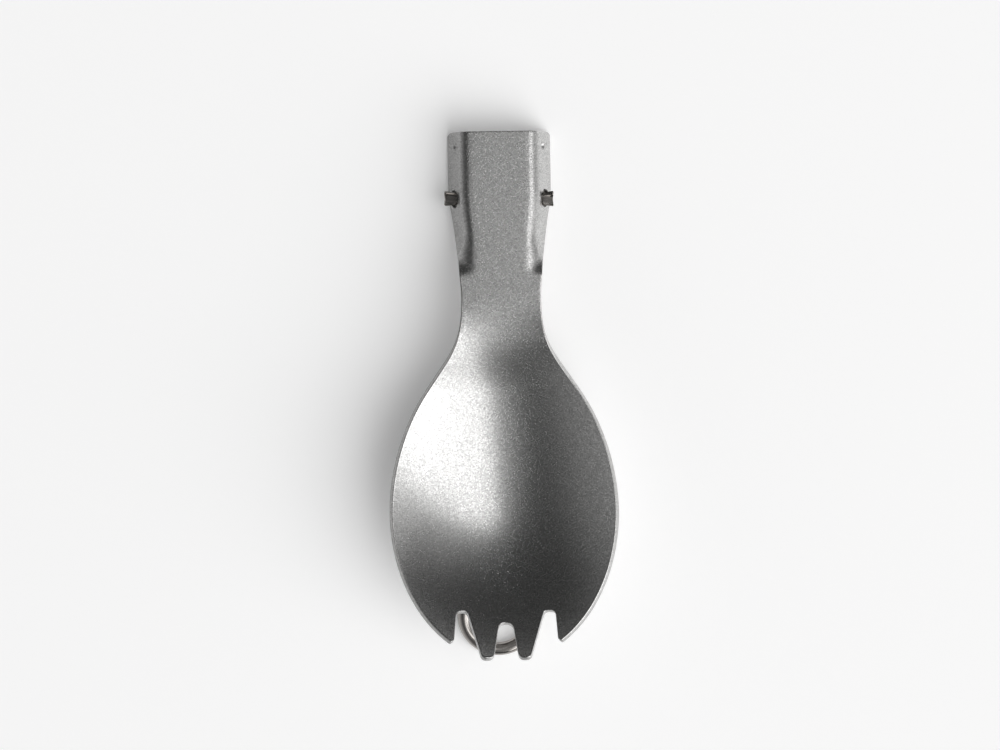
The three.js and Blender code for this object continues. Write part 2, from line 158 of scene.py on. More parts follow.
def flange_drop(across, along):
    """How far the channel's side has been bent down."""
    angle = bend_angle(along)
    past = across - flat_half(along)
    radius = bend_radius(along)
    bend = radius * np.sin(angle)
    in_bend = radius - np.sqrt(radius**2 - np.clip(past, 0, bend) ** 2)
    return in_bend + np.maximum(past - bend, 0) * np.tan(angle)


def bowl_depth(across, along):
    """How deep the bowl has been drawn below its rim."""
    reach = np.maximum(along - BOWL_WIDEST, 0) / BOWL_TIP
    front = 1 - reach**2 - (across / BOWL_HALF) ** 2
    half = np.interp(along, edge_table[:, 0], edge_table[:, 1])
    share = np.maximum((half**2 - NECK_HALF**2) / (BOWL_HALF**2 - NECK_HALF**2), 0)
    back = np.where(along > NECK_END, share**BOWL_ONSET * (1 - (across / half) ** 2), 0)
    return BOWL_DEPTH * np.where(along >= BOWL_WIDEST, front, back)


def top_height(x, along):
    """How high the sheet's top face stands."""
    across = np.abs(x)
    rise = np.maximum(along - BOWL_WIDEST, 0) / BOWL_TIP
    rim = RIM_RISE * rise**2 - RIM_DROP * ease(along, *RIM_DROP_PLACES)
    return rim - bowl_depth(across, along) - flange_drop(across, along)


def top_slopes(x, along):
    """How steeply the top face rises, across and lengthwise."""
    step = 0.02
    across = (top_height(x + step, along) - top_height(x - step, along)) / (2 * step)
    lengthwise = (top_height(x, along + step) - top_height(x, along - step)) / (2 * step)
    return across, lengthwise


def flange_face(drop, along):
    """How far out the flange's outer face stands at some depth below the flat."""
    bend_drop = BEND_RADIUS * (1 - math.cos(FLANGE_ANGLE))
    bend_end = flat_half(along) + BEND_RADIUS * math.sin(FLANGE_ANGLE)
    return bend_end + (drop - bend_drop) / math.tan(FLANGE_ANGLE)


DIMPLE_OUT = flange_face(DIMPLE_DROP, DIMPLE_ALONG)


def dimple_push(x, along):
    """How far the punch has pushed the flange inward at its dimple."""
    across = (np.abs(x) - DIMPLE_OUT) / math.cos(FLANGE_ANGLE)
    reach = np.hypot(across, along - DIMPLE_ALONG) / DIMPLE_RADIUS
    return DIMPLE_DEPTH * np.maximum(1 - reach**2, 0) ** DIMPLE_ROUNDING


def pressed(blank, height):
    """Where points of the flat blank, at some height over its top face, end up in the pressed sheet."""
    x, along = blank[:, 0], blank[:, 1]
    across, lengthwise = top_slopes(x, along)
    normal = np.stack([-across, lengthwise, np.ones_like(x)], axis=1)
    normal /= np.linalg.norm(normal, axis=1)[:, None]
    lift = height - dimple_push(x, along)
    return np.stack([x, -along, top_height(x, along)], axis=1) + normal * lift[:, None]


# The blank is the flat sheet that goes into the press, sheared and punched to its outline: four tines
# between three slots, their corners rounded, and a round hinge hole in each flange.
CORNER_STEPS = 8
CURVE_STEPS = 60
OUTLINE_STEP = 0.3
CENTRE_SLOT_HALF = 1.2
# The corners of the slots and the inner tine on the right, as (across, along, rounding).
TINE_CORNERS = [
    (CENTRE_SLOT_HALF, CENTRE_SLOT_ROOT, 1.1),
    (2.15, HEAD_LENGTH, 1.0),
    (4.25, HEAD_LENGTH, 1.0),
    (6.745, SIDE_SLOT_ROOT, 0.9),
    (8.695, SIDE_SLOT_ROOT, 0.9),
]
# The outer tine's point stands back from the bowl's rim and runs out to it on a bevel, within BEVEL_LIMIT
# across. From there RIM_LEAD is left for the rounding before the rim's own curve starts.
OUTER_TINE_EDGE = 9.05
OUTER_TINE_BACK = 0.79
OUTER_TINE_BEVEL = math.tan(math.radians(38))
OUTER_TINE_ROUNDING = 0.35
BEVEL_LIMIT = 12.0
RIM_LEAD = 1.0


def rounded_corner(before, corner, after, radius):
    """The arc that replaces a corner, from the side of the point before it to that after it."""
    to_before = (before - corner) / np.linalg.norm(before - corner)
    to_after = (after - corner) / np.linalg.norm(after - corner)
    half = math.acos(float(np.clip(to_before @ to_after, -1, 1))) / 2
    middle = (to_before + to_after) / np.linalg.norm(to_before + to_after)
    centre = corner + middle * radius / math.sin(half)
    start = corner + to_before * radius / math.tan(half) - centre
    end = corner + to_after * radius / math.tan(half) - centre
    turn = math.atan2(start[0] * end[1] - start[1] * end[0], start @ end)
    angles = np.linspace(0, turn, CORNER_STEPS + 1)
    cos, sin = np.cos(angles), np.sin(angles)
    across = centre[0] + start[0] * cos - start[1] * sin
    along = centre[1] + start[0] * sin + start[1] * cos
    return np.stack([across, along], 1)


def rim_line(across):
    """Where the front of the bowl's rim stands, along, before the tines are cut."""
    return BOWL_WIDEST + BOWL_TIP * np.sqrt(1 - (across / BOWL_HALF) ** 2)


def blank_half():
    """The right half of the blank's outline, from the centre slot's root round to the free end's middle."""
    point = rim_line(OUTER_TINE_EDGE) - OUTER_TINE_BACK
    tries = np.linspace(OUTER_TINE_EDGE, BEVEL_LIMIT, 400)
    bevel = point + (tries - OUTER_TINE_EDGE) * OUTER_TINE_BEVEL
    bevel_end = tries[np.argmin(np.abs(rim_line(tries) - bevel))]
    rim_start = bevel_end + RIM_LEAD
    corners = [
        (-CENTRE_SLOT_HALF, CENTRE_SLOT_ROOT, 0),
        *TINE_CORNERS,
        (OUTER_TINE_EDGE, point, OUTER_TINE_ROUNDING),
        (bevel_end, rim_line(bevel_end), OUTER_TINE_ROUNDING),
        (rim_start, rim_line(rim_start), 0),
    ]
    path = [np.array([[0.0, CENTRE_SLOT_ROOT]])]
    for before, corner, after in zip(corners[:-2], corners[1:-1], corners[2:]):
        places = [np.array(place[:2]) for place in (before, corner, after)]
        path.append(rounded_corner(*places, radius=corner[2]))
    turns = np.linspace(math.asin(rim_start / BOWL_HALF), math.pi / 2, CURVE_STEPS)
    path.append(np.stack([BOWL_HALF * np.sin(turns), BOWL_WIDEST + BOWL_TIP * np.cos(turns)], 1))
    side = side_edge(CURVE_STEPS)[::-1, ::-1]
    path.append(side[1:])
    turns = np.linspace(0, math.pi / 2, CORNER_STEPS + 1)
    corner_across = CHANNEL_HALF - FLANGE_CORNER + FLANGE_CORNER * np.cos(turns)
    path.append(np.stack([corner_across, FLANGE_CORNER * (1 - np.sin(turns))], 1))
    path.append(np.array([[0.0, 0.0]]))
    return np.vstack(path)


def evenly_divided(path, spacing):
    """The same path with points added wherever two stand further apart than the spacing."""
    points = []
    for start, end in zip(path[:-1], path[1:]):
        parts = max(1, math.ceil(np.linalg.norm(end - start) / spacing))
        points += [start + (end - start) * i / parts for i in range(parts)]
    return np.array(points + [path[-1]])


right_half = evenly_divided(blank_half(), OUTLINE_STEP)
left_half = right_half[-2:0:-1] * (-1, 1)
outline = np.vstack([right_half, left_half])

# Both faces of the blank are meshed flat and pressed point by point. Rows of points run across the head,
# closest in the bends, and rings of them lie round the dimples. All edges are rounded by tumbling.
EDGE_ROUND = 0.15
EDGE_BAND = 0.3
EDGE_CLEARANCE = 0.33
MESH_STEP = 0.6
FLAT_POINTS = 8
BEND_POINTS = 11
FLANGE_POINTS = 8
LEAST_BEND = math.radians(20)
LEAST_FLANGE = 0.25
HOLE_SIDES = 48
DIMPLE_SIDES = 24
DIMPLE_RINGS = 9
DIMPLE_CENTRE = 0.12
DIMPLE_LIP = 0.15
DIMPLE_CLEARANCE = 0.35

edge_turns = np.radians([90, 67.5, 45, 22.5, 0])
upper_edge = [(EDGE_BAND, 0.0)]
upper_edge += [(EDGE_ROUND * (1 - math.cos(a)), -EDGE_ROUND * (1 - math.sin(a))) for a in edge_turns]
lower_edge = [(inset, -SHEET - height) for inset, height in reversed(upper_edge)]
edge_profile = upper_edge + lower_edge
# How far handling has rubbed each line of the edge, from the upper face to the lower one.
edge_rub = [0.0, 0.5, 1.0, 1.0, 1.0, 0.35]
edge_rub += edge_rub[::-1]


def inset_outline(amount):
    """The outline moved inward by an amount that is measured on the pressed sheet."""
    course = np.roll(outline, -1, axis=0) - np.roll(outline, 1, axis=0)
    outward = np.stack([-course[:, 1], course[:, 0]], 1)
    outward /= np.linalg.norm(outward, axis=1)[:, None]
    across, lengthwise = top_slopes(outline[:, 0], outline[:, 1])
    slope = across * outward[:, 0] + lengthwise * outward[:, 1]
    return outline - outward * (amount / np.sqrt(1 + slope**2))[:, None]


def hole_outline(side, grown, height):
    """The hinge hole's round edge in one flange, in the blank at some height over its top face."""
    turns = np.linspace(0, 2 * math.pi, HOLE_SIDES, endpoint=False) * side
    radius = HOLE_RADIUS + grown
    drop = HINGE_DROP - radius * np.sin(turns) + height * math.cos(FLANGE_ANGLE)
    along = HINGE_ALONG + radius * np.cos(turns)
    return np.stack([side * flange_face(drop, along), along], 1)


def row_stops(along):
    """Where the mesh's lengthwise lines cross one row of half the head: flat, bend and flange."""
    half = float(np.interp(along, edge_table[:, 0], edge_table[:, 1]))
    if along > BOWL_WIDEST:
        half = BOWL_HALF * math.sqrt(max(1 - ((along - BOWL_WIDEST) / BOWL_TIP) ** 2, 0))
    angle = float(bend_angle(along))
    flat = float(flat_half(along))
    if angle < LEAST_BEND:
        return np.linspace(0, half, max(2, math.ceil(half / MESH_STEP)))
    bend = flat + float(bend_radius(along)) * np.sin(np.linspace(0, angle, BEND_POINTS))
    bend = bend[bend < half - LEAST_FLANGE]
    flange = np.linspace(bend[-1], half, FLANGE_POINTS)
    return np.concatenate([np.linspace(0, flat, FLAT_POINTS), bend[1:], flange[1:]])


def inner_points():
    """Mesh points between the edges: rows across the whole head, and rings round the dimples."""
    points = []
    for along in np.arange(MESH_STEP / 2, HEAD_LENGTH, MESH_STEP):
        stops = row_stops(along)
        points += [(x, along) for x in stops] + [(-x, along) for x in stops[1:]]
    points = np.array(points)
    across = (np.abs(points[:, 0]) - DIMPLE_OUT) / math.cos(FLANGE_ANGLE)
    points = points[np.hypot(across, points[:, 1] - DIMPLE_ALONG) > DIMPLE_RADIUS + DIMPLE_CLEARANCE]
    rings = []
    for side in (-1, 1):
        middle = np.array([side * DIMPLE_OUT, DIMPLE_ALONG])
        rings.append(middle[None])
        for radius in np.linspace(DIMPLE_CENTRE, DIMPLE_RADIUS + DIMPLE_LIP, DIMPLE_RINGS):
            turns = np.linspace(0, 2 * math.pi, DIMPLE_SIDES, endpoint=False)
            circle = np.stack([np.cos(turns) * math.cos(FLANGE_ANGLE), np.sin(turns)], 1)
            rings.append(middle + circle * radius)
    return np.vstack([points] + rings)


def is_inside(points, loop):
    """Which points a closed loop holds."""
    inside = np.zeros(len(points), bool)
    for start, end in zip(loop, np.roll(loop, -1, axis=0)):
        crosses = (start[1] > points[:, 1]) != (end[1] > points[:, 1])
        rise = end[1] - start[1]
        if rise:
            place = start[0] + (points[:, 1] - start[1]) * (end[0] - start[0]) / rise
            inside ^= crosses & (points[:, 0] < place)
    return inside


def far_enough(points, fixed, height, gap):
    """Which points stand clear of an edge that is already meshed, measured on the pressed sheet."""
    places, edge = pressed(points, height), pressed(fixed, height)
    keep = np.ones(len(points), bool)
    batch = 2000
    for start in range(0, len(points), batch):
        part = places[start : start + batch]
        distance = np.linalg.norm(part[:, None] - edge[None], axis=2).min(1)
        keep[start : start + batch] = distance > gap
    return keep


def face_triangles(loops, free, upward):
    """The triangles of one face of the sheet, between its outline and the two holes."""
    points = np.vstack(loops + [free])
    edges = []
    start = 0
    for loop in loops:
        edges += [(start + i, start + (i + 1) % len(loop)) for i in range(len(loop))]
        start += len(loop)
    inside_only, merge_distance = 1, 1e-7
    flat_points = [Vector((x, -along)) for x, along in points]
    found = delaunay_2d_cdt(flat_points, edges, [], inside_only, merge_distance)
    original = [sources[0] for sources in found[3]]
    triangles = np.array([[original[i] for i in face] for face in found[2]])
    corners = points[triangles]
    middles = corners.mean(1)
    for hole in loops[1:]:
        outside = ~is_inside(middles, hole)
        triangles, corners, middles = triangles[outside], corners[outside], middles[outside]
    one, two = corners[:, 1] - corners[:, 0], corners[:, 2] - corners[:, 0]
    turned_up = one[:, 0] * -two[:, 1] - -one[:, 1] * two[:, 0] > 0
    flip = turned_up != upward
    triangles[flip] = triangles[flip][:, ::-1]
    return triangles


def head_mesh():
    """Places, faces and edge rub of the whole head, in millimetres."""
    places, faces, rub = [], [], []
    count = 0
    rings = []
    for (inset, height), worn in zip(edge_profile, edge_rub):
        loops = [inset_outline(inset)] + [hole_outline(side, inset, height) for side in (-1, 1)]
        starts = []
        for loop in loops:
            starts.append(count)
            count += len(loop)
            places.append(pressed(loop, height))
            rub += [worn] * len(loop)
        rings.append((loops, starts))
    for (loops, upper), (_, lower) in zip(rings[:-1], rings[1:]):
        for loop, up, low in zip(loops, upper, lower):
            for i in range(len(loop)):
                k = (i + 1) % len(loop)
                faces.append((low + i, low + k, up + k, up + i))
    inner = inner_points()
    for (loops, starts), height, upward in ((rings[0], 0.0, True), (rings[-1], -SHEET, False)):
        free = inner[is_inside(inner, loops[0])]
        for hole in loops[1:]:
            free = free[~is_inside(free, hole)]
        free = free[far_enough(free, np.vstack(loops), height, EDGE_CLEARANCE)]
        triangles = face_triangles(loops, free, upward)
        edge_count = sum(len(loop) for loop in loops)
        index = np.where(triangles < edge_count, triangles + starts[0], triangles - edge_count + count)
        faces += [tuple(int(i) for i in triangle) for triangle in index]
        places.append(pressed(free, height))
        rub += [0.0] * len(free)
        count += len(free)
    return np.vstack(places), faces, rub


# The folded head leans on its channel's corners. The record's flat mount gives its place and its lean.
MOUNT_ALONG = 4
mount = frame["record"]["mounts"][0]
head_up = Vector(mount["axis"]).normalized()
head_back = Vector((0, head_up.z, -head_up.y))
head_start = Vector(mount["pos_m"]) + head_back * MOUNT_ALONG * MILLIMETRE
head_place = Matrix.Translation(head_start) @ Matrix(
    ((1, 0, 0), (0, head_back.y, head_up.y), (0, head_back.z, head_up.z))
).to_4x4()


def solid_piece(name, places, faces, place, rub):
    """A smooth mesh object, put where the CAD solid stands, with its edge rub kept at every point."""
    mesh = bpy.data.meshes.new(name)
    mesh.from_pydata((places * MILLIMETRE).tolist(), [], faces)
    mesh.transform(place)
    mesh.shade_smooth()
    mesh.attributes.new("edge_rub", "FLOAT", "POINT").data.foreach_set("value", rub)
    mesh.update()
    piece = bpy.data.objects.new(name, mesh)
    bpy.context.scene.collection.objects.link(piece)
    return piece


places, faces, rub = head_mesh()
head = solid_piece("pressed_head", places, faces, head_place, rub)
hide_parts("spork_head")
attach(head, "head")

# Bead blasting gives the whole sheet a fine matt grain, which handling has rubbed smoother and brighter
# along the edges. Grain is counted in facets per metre, and depths are in metres. Bright facets and rubbed
# metal each change the roughness a little.
BLASTED_DARK = (0.25, 0.248, 0.245, 1)
BLASTED_BRIGHT = (0.59, 0.587, 0.581, 1)
BLASTED_EVEN = (0.42, 0.418, 0.414, 1)
RUBBED_METAL = (0.5, 0.497, 0.49, 1)
BLASTED_GRAIN = 6000.0
BLASTED_CONTRAST = 0.92
BLASTED_CLOUDS = 0.4
BLASTED_ROUGHNESS = 0.34
BRIGHT_FACET_CHANGE = -0.08
RUBBED_CHANGE = -0.08
BLASTED_PITS = 0.00002
FACETS_PER_CLOUD = 22.0


def new_group(name, inputs, outputs):
    """An empty shader node group with named sockets, and its input and output nodes."""
    group = bpy.data.node_groups.new(name, "ShaderNodeTree")
    for title, kind, value in inputs:
        socket = group.interface.new_socket(title, in_out="INPUT", socket_type=kind)
        if value is not None:
            socket.default_value = value
    for title, kind in outputs:
        group.interface.new_socket(title, in_out="OUTPUT", socket_type=kind)
    return group, group.nodes.new("NodeGroupInput"), group.nodes.new("NodeGroupOutput")


def maths(tree, operation, *values, clamp=False):
    """A math node whose inputs are numbers or other nodes' sockets."""
    node = tree.nodes.new("ShaderNodeMath")
    node.operation = operation
    node.use_clamp = clamp
    for socket, value in zip(node.inputs, values):
        if isinstance(value, (int, float)):
            socket.default_value = value
        else:
            tree.links.new(value, socket)
    return node.outputs[0]


def noise(tree, place, scale, detail, roughness):
    """A soft random value from 0 to 1 at every place."""
    node = tree.nodes.new("ShaderNodeTexNoise")
    node.inputs["Detail"].default_value = detail
    node.inputs["Roughness"].default_value = roughness
    tree.links.new(place, node.inputs["Vector"])
    tree.links.new(scale, node.inputs["Scale"])
    return node.outputs["Fac"]


def blend_colour(tree, factor, first, second):
    """The first colour where the factor is 0, the second where it is 1."""
    node = tree.nodes.new("ShaderNodeMix")
    node.data_type = "RGBA"
    tree.links.new(factor, node.inputs["Factor"])
    for socket, value in ((node.inputs["A"], first), (node.inputs["B"], second)):
        if isinstance(value, tuple):
            socket.default_value = value
        else:
            tree.links.new(value, socket)
    return node.outputs["Result"]


# Metal grain: tiny facets, each of its own brightness, with a slow cloudiness under them.
grain_group, inner, outer = new_group(
    "metal_grain",
    [
        ("Place", "NodeSocketVector", None),
        ("Per metre", "NodeSocketFloat", 5000.0),
        ("Contrast", "NodeSocketFloat", 1.0),
    ],
    [("Speckle", "NodeSocketFloat"), ("Cloud", "NodeSocketFloat")],
)
facets = grain_group.nodes.new("ShaderNodeTexVoronoi")
grain_group.links.new(inner.outputs["Place"], facets.inputs["Vector"])
grain_group.links.new(inner.outputs["Per metre"], facets.inputs["Scale"])
facet = grain_group.nodes.new("ShaderNodeSeparateColor")
grain_group.links.new(facets.outputs["Color"], facet.inputs["Color"])
off_middle = maths(grain_group, "SUBTRACT", facet.outputs["Red"], 0.5)
spread = maths(grain_group, "MULTIPLY", off_middle, inner.outputs["Contrast"])
speckle = maths(grain_group, "ADD", spread, 0.5, clamp=True)
slow = maths(grain_group, "DIVIDE", inner.outputs["Per metre"], FACETS_PER_CLOUD)
cloud = noise(grain_group, inner.outputs["Place"], slow, detail=3.0, roughness=0.5)
grain_group.links.new(speckle, outer.inputs["Speckle"])
grain_group.links.new(cloud, outer.inputs["Cloud"])

# Rubbed edges: where hands and pockets have polished the metal, broken up by the grain.
rub_group, inner, outer = new_group(
    "rubbed_edge",
    [("Rub", "NodeSocketFloat", 0.0), ("Speckle", "NodeSocketFloat", 0.5), ("Cloud", "NodeSocketFloat", 0.5)],
    [("Mask", "NodeSocketFloat")],
)
broken = maths(rub_group, "ADD", inner.outputs["Speckle"], inner.outputs["Cloud"])
worn = maths(rub_group, "MULTIPLY", inner.outputs["Rub"], broken)
rub_group.links.new(maths(rub_group, "SMOOTH_MIN", worn, 1.0, 0.1), outer.inputs["Mask"])


def place_group(tree, group, **values):
    """A node group placed in a material with its own values or links. It gives the group's outputs."""
    node = tree.nodes.new("ShaderNodeGroup")
    node.node_tree = group
    for title, value in values.items():
        socket = node.inputs[title.replace("_", " ")]
        if isinstance(value, (int, float)):
            socket.default_value = value
        else:
            tree.links.new(value, socket)
    return node.outputs


def bare_metal(name):
    """A new material with a metallic Principled shader, and its node tree."""
    material = bpy.data.materials.new(name)
    material.use_nodes = True
    tree = material.node_tree
    shader = tree.nodes["Principled BSDF"]
    shader.inputs["Metallic"].default_value = 1.0
    return material, tree, shader


def surface_bump(tree, height, depth, strength):
    """Fine relief in the surface, so many metres deep."""
    node = tree.nodes.new("ShaderNodeBump")
    node.inputs["Distance"].default_value = depth
    node.inputs["Strength"].default_value = strength
    tree.links.new(height, node.inputs["Height"])
    return node.outputs["Normal"]


blasted, tree, shader = bare_metal("blasted_titanium")
place = tree.nodes.new("ShaderNodeTexCoord").outputs["Object"]
grain = place_group(tree, grain_group, Place=place, Per_metre=BLASTED_GRAIN, Contrast=BLASTED_CONTRAST)
rubbed = tree.nodes.new("ShaderNodeAttribute")
rubbed.attribute_name = "edge_rub"
mask = place_group(
    tree, rub_group, Rub=rubbed.outputs["Fac"], Speckle=grain["Speckle"], Cloud=grain["Cloud"]
)["Mask"]
speckled = blend_colour(tree, grain["Speckle"], BLASTED_DARK, BLASTED_BRIGHT)
faint = maths(tree, "MULTIPLY", grain["Cloud"], BLASTED_CLOUDS)
clouded = blend_colour(tree, faint, speckled, BLASTED_EVEN)
tree.links.new(blend_colour(tree, mask, clouded, RUBBED_METAL), shader.inputs["Base Color"])
matt = maths(tree, "MULTIPLY_ADD", grain["Speckle"], BRIGHT_FACET_CHANGE, BLASTED_ROUGHNESS)
tree.links.new(maths(tree, "MULTIPLY_ADD", mask, RUBBED_CHANGE, matt), shader.inputs["Roughness"])
pits = surface_bump(tree, grain["Speckle"], depth=BLASTED_PITS, strength=0.5)
tree.links.new(pits, shader.inputs["Normal"])
head.data.materials.append(blasted)

# ---- The wire handle -----------------------------------------------------------------------------------
# One drawn titanium wire, 2.4 mm thick, bent cold to a long U. Each end turns outward through its flange
# and is staked there: a punch has split and spread it into ears, which keep the wire from pulling out.

# Sizes are in millimetres about the hinge axis: HANDLE_REACH is from there to the outside of the loop.
WIRE_RADIUS = 1.2
WIRE_BEND = 2.4
HANDLE_REACH = 82.4
LEG_HALF = 4.5
LOOP_HALF = 7.3
HANDLE_SHIFT = 0.15
HANDLE_SKEW = math.radians(0.9)
WIRE_SIDES = 48
FIRST_SIDE = math.radians(22)
WIRE_BEND_STEPS = 16
LEG_STEPS = 40
LOOP_STEPS = 36
# Beyond STAKE_START the wire is staked, and its end narrows to STAKE_END. The punch leaves a shallow dent
# across the end and a deeper one in its middle.
STAKE_START = 7.1
STAKE_FACE = 9.2
STAKE_HALF = 1.25
STAKE_END = 9.65
END_NARROWING = 0.86
PUNCH_DENT = 0.15
FACE_DENT = 0.3
# The staked ends' sections, each as how far out it stands and its eight corners (along the spork, up). They
# run from beside the flange to the outer end, and differ because each end was punched on its own.
RIGHT_STAKE = [
    (7.4, [(1.08, 0.45), (0.7, 0.95), (0.58, 0.86), (-0.45, 1.08),
           (-1.05, 0.5), (-1.05, -0.5), (0, -1.18), (1.05, -0.5)]),
    (8.1, [(1.2, 0.6), (0.78, 1.0), (0.62, 0.85), (-0.5, 1.24),
           (-1.1, 0.5), (-1.1, -0.5), (0, -1.25), (1.1, -0.5)]),
    (9.5, [(1.5, 0.75), (0.85, 1.32), (0.68, 0.4), (-0.75, 0.9),
           (-1.2, 1.1), (-1.25, -0.8), (0, -1.65), (1.25, -0.8)]),
]
LEFT_STAKE = [
    (7.4, [(1.07, 0.33), (0.93, 0.8), (0.7, 0.68), (-0.4, 1.12),
           (-1.04, 0.56), (-1.04, -0.5), (0, -1.18), (1.04, -0.5)]),
    (8.9, [(1.25, 0.4), (1.12, 1.0), (0.88, 0.7), (-0.45, 1.45),
           (-1.15, 0.95), (-1.2, -0.7), (0, -1.5), (1.2, -0.7)]),
    (9.5, [(1.3, 0.5), (1.2, 1.3), (0.9, 1.1), (-0.42, 1.65),
           (-1.12, 1.1), (-1.25, -0.8), (0, -1.65), (1.25, -0.8)]),
]


def wire_course():
    """The wire's middle line, from one end to the other, as (x, y, heading)."""
    loop = LOOP_HALF - WIRE_RADIUS
    loop_place = HANDLE_REACH - WIRE_RADIUS - loop
    splay = math.asin(loop / math.hypot(LEG_HALF, loop_place)) - math.atan(LEG_HALF / loop_place)
    turn = math.pi / 2 + splay
    lead = WIRE_BEND * math.tan(turn / 2)
    half = [(STAKE_START, 0.0, math.pi)]
    for angle in np.linspace(0, turn, WIRE_BEND_STEPS + 1):
        x = LEG_HALF + lead - WIRE_BEND * math.sin(angle)
        half.append((x, -WIRE_BEND * (1 - math.cos(angle)), math.pi + angle))
    bend_end = np.array(half[-1][:2])
    loop_start = np.array((loop * math.cos(splay), loop * math.sin(splay) - loop_place))
    for share in np.linspace(0, 1, LEG_STEPS + 1)[1:-1]:
        x, y = bend_end + (loop_start - bend_end) * share
        half.append((x, y, math.pi + turn))
    for angle in np.linspace(splay, -math.pi / 2, LOOP_STEPS + 1):
        heading = angle - math.pi / 2 + 2 * math.pi
        half.append((loop * math.cos(angle), loop * math.sin(angle) - loop_place, heading))
    other = [(-x, y, 4 * math.pi - heading) for x, y, heading in half[-2::-1]]
    return half + other


def faceted_section(corners):
    """A closed section with straight sides between its corners."""
    closed = np.array(corners + corners[:1], float)
    steps = np.linspace(0, len(corners), WIRE_SIDES, endpoint=False)
    return np.stack([np.interp(steps, np.arange(len(closed)), closed[:, k]) for k in (0, 1)], 1)


def wire_rings():
    """The wire's sections: its right end, the round wire, its left end, and the middles of the end faces."""
    turns = np.linspace(0, 2 * math.pi, WIRE_SIDES, endpoint=False) + FIRST_SIDE
    round_section = np.stack([np.cos(turns), np.sin(turns)], 1) * WIRE_RADIUS
    across, up = round_section[:, 0], round_section[:, 1]
    rings = []
    for x, y, heading in wire_course():
        rings.append(np.stack([x + across * math.sin(heading), y - across * math.cos(heading), up], 1))
    ends = []
    for side, stake in ((1, RIGHT_STAKE), (-1, LEFT_STAKE)):
        sections = [(x, faceted_section(corners)) for x, corners in stake]
        sections.append((STAKE_END, sections[-1][1] * END_NARROWING))
        end = []
        for x, section in sections:
            near_middle = 1 - np.minimum(np.abs(section[:, 0]) / STAKE_HALF, 1)
            dent = PUNCH_DENT * near_middle * (x > STAKE_FACE)
            end.append(np.stack([side * (x - dent), section[:, 0], section[:, 1]], 1))
        ends.append(end)
    right_end, left_end = ends
    face = STAKE_END - FACE_DENT
    return right_end[::-1], rings, left_end, np.array([[face, 0.0, 0.0], [-face, 0.0, 0.0]])


def wire_mesh():
    """Places, faces and lengthwise UVs of the handle, in millimetres about its hinge axis."""
    right_end, wire, left_end, face_middles = wire_rings()
    rings = right_end + wire + left_end
    places = np.vstack(rings)
    centres = np.array([ring.mean(0) for ring in rings])
    distance = np.concatenate([[0], np.cumsum(np.linalg.norm(np.diff(centres, axis=0), axis=1))])
    faces, maps = [], []
    girth = 2 * math.pi * WIRE_RADIUS
    for s in range(len(rings) - 1):
        for i in range(WIRE_SIDES):
            k = (i + 1) % WIRE_SIDES
            a, b = s * WIRE_SIDES, (s + 1) * WIRE_SIDES
            faces.append((a + k, a + i, b + i, b + k))
            left, right = girth * i / WIRE_SIDES, girth * (i + 1) / WIRE_SIDES
            start, end = distance[s], distance[s + 1]
            maps += [(right, start), (left, start), (left, end), (right, end)]
    count = len(places)
    last = count - WIRE_SIDES
    fan = 0.1  # the end faces' map, in millimetres a side
    for i in range(WIRE_SIDES):
        k = (i + 1) % WIRE_SIDES
        faces.append((count, i, k))
        faces.append((count + 1, last + k, last + i))
        maps += [(0, 0), (fan * i, fan), (fan * k, fan)] * 2
    return np.vstack([places, face_middles]), faces, np.array(maps)


hinge = Vector(frame["joints"][0]["pos_m"]) / MILLIMETRE
leg_fall = math.asin((hinge.z - WIRE_RADIUS) / (HANDLE_REACH - WIRE_RADIUS))
handle_place = (
    Matrix.Translation((hinge - Vector((HANDLE_SHIFT, 0, 0))) * MILLIMETRE)
    @ Matrix.Rotation(leg_fall, 4, "X")
    @ Matrix.Rotation(-HANDLE_SKEW, 4, "Z")
)
places, faces, maps = wire_mesh()
handle = solid_piece("bent_wire_handle", places, faces, handle_place, np.zeros(len(places)))
handle.data.uv_layers.new(name="lengthwise").data.foreach_set("uv", (maps * MILLIMETRE).ravel())
handle.data.set_sharp_from_angle(angle=math.radians(28))
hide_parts("wire_handle")
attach(handle, "handle")

# Drawing leaves fine streaks along the bright wire, each a grain stretched many times.
DRAWN_DARK = (0.26, 0.244, 0.229, 1)
DRAWN_BRIGHT = (0.48, 0.457, 0.436, 1)
DRAWN_EVEN = (0.38, 0.36, 0.342, 1)
DRAWN_GRAIN = 7000.0
DRAWN_CONTRAST = 1.4
DRAWN_STRETCH = 0.03
DRAWN_ROUGHNESS = 0.09
STREAK_ROUGHENING = 0.08
STREAK_DEPTH = 0.00001

drawn, tree, shader = bare_metal("drawn_titanium_wire")
lengthwise = tree.nodes.new("ShaderNodeUVMap")
lengthwise.uv_map = "lengthwise"
stretched = tree.nodes.new("ShaderNodeVectorMath")
stretched.operation = "MULTIPLY"
stretched.inputs[1].default_value = (1.0, DRAWN_STRETCH, 1.0)
tree.links.new(lengthwise.outputs["UV"], stretched.inputs[0])
streaks = place_group(
    tree, grain_group, Place=stretched.outputs[0], Per_metre=DRAWN_GRAIN, Contrast=DRAWN_CONTRAST
)
speckled = blend_colour(tree, streaks["Speckle"], DRAWN_DARK, DRAWN_BRIGHT)
tree.links.new(blend_colour(tree, streaks["Cloud"], speckled, DRAWN_EVEN), shader.inputs["Base Color"])
bright = maths(tree, "MULTIPLY_ADD", streaks["Speckle"], STREAK_ROUGHENING, DRAWN_ROUGHNESS)
tree.links.new(bright, shader.inputs["Roughness"])
grooves = surface_bump(tree, streaks["Speckle"], depth=STREAK_DEPTH, strength=0.4)
tree.links.new(grooves, shader.inputs["Normal"])
handle.data.materials.append(drawn)

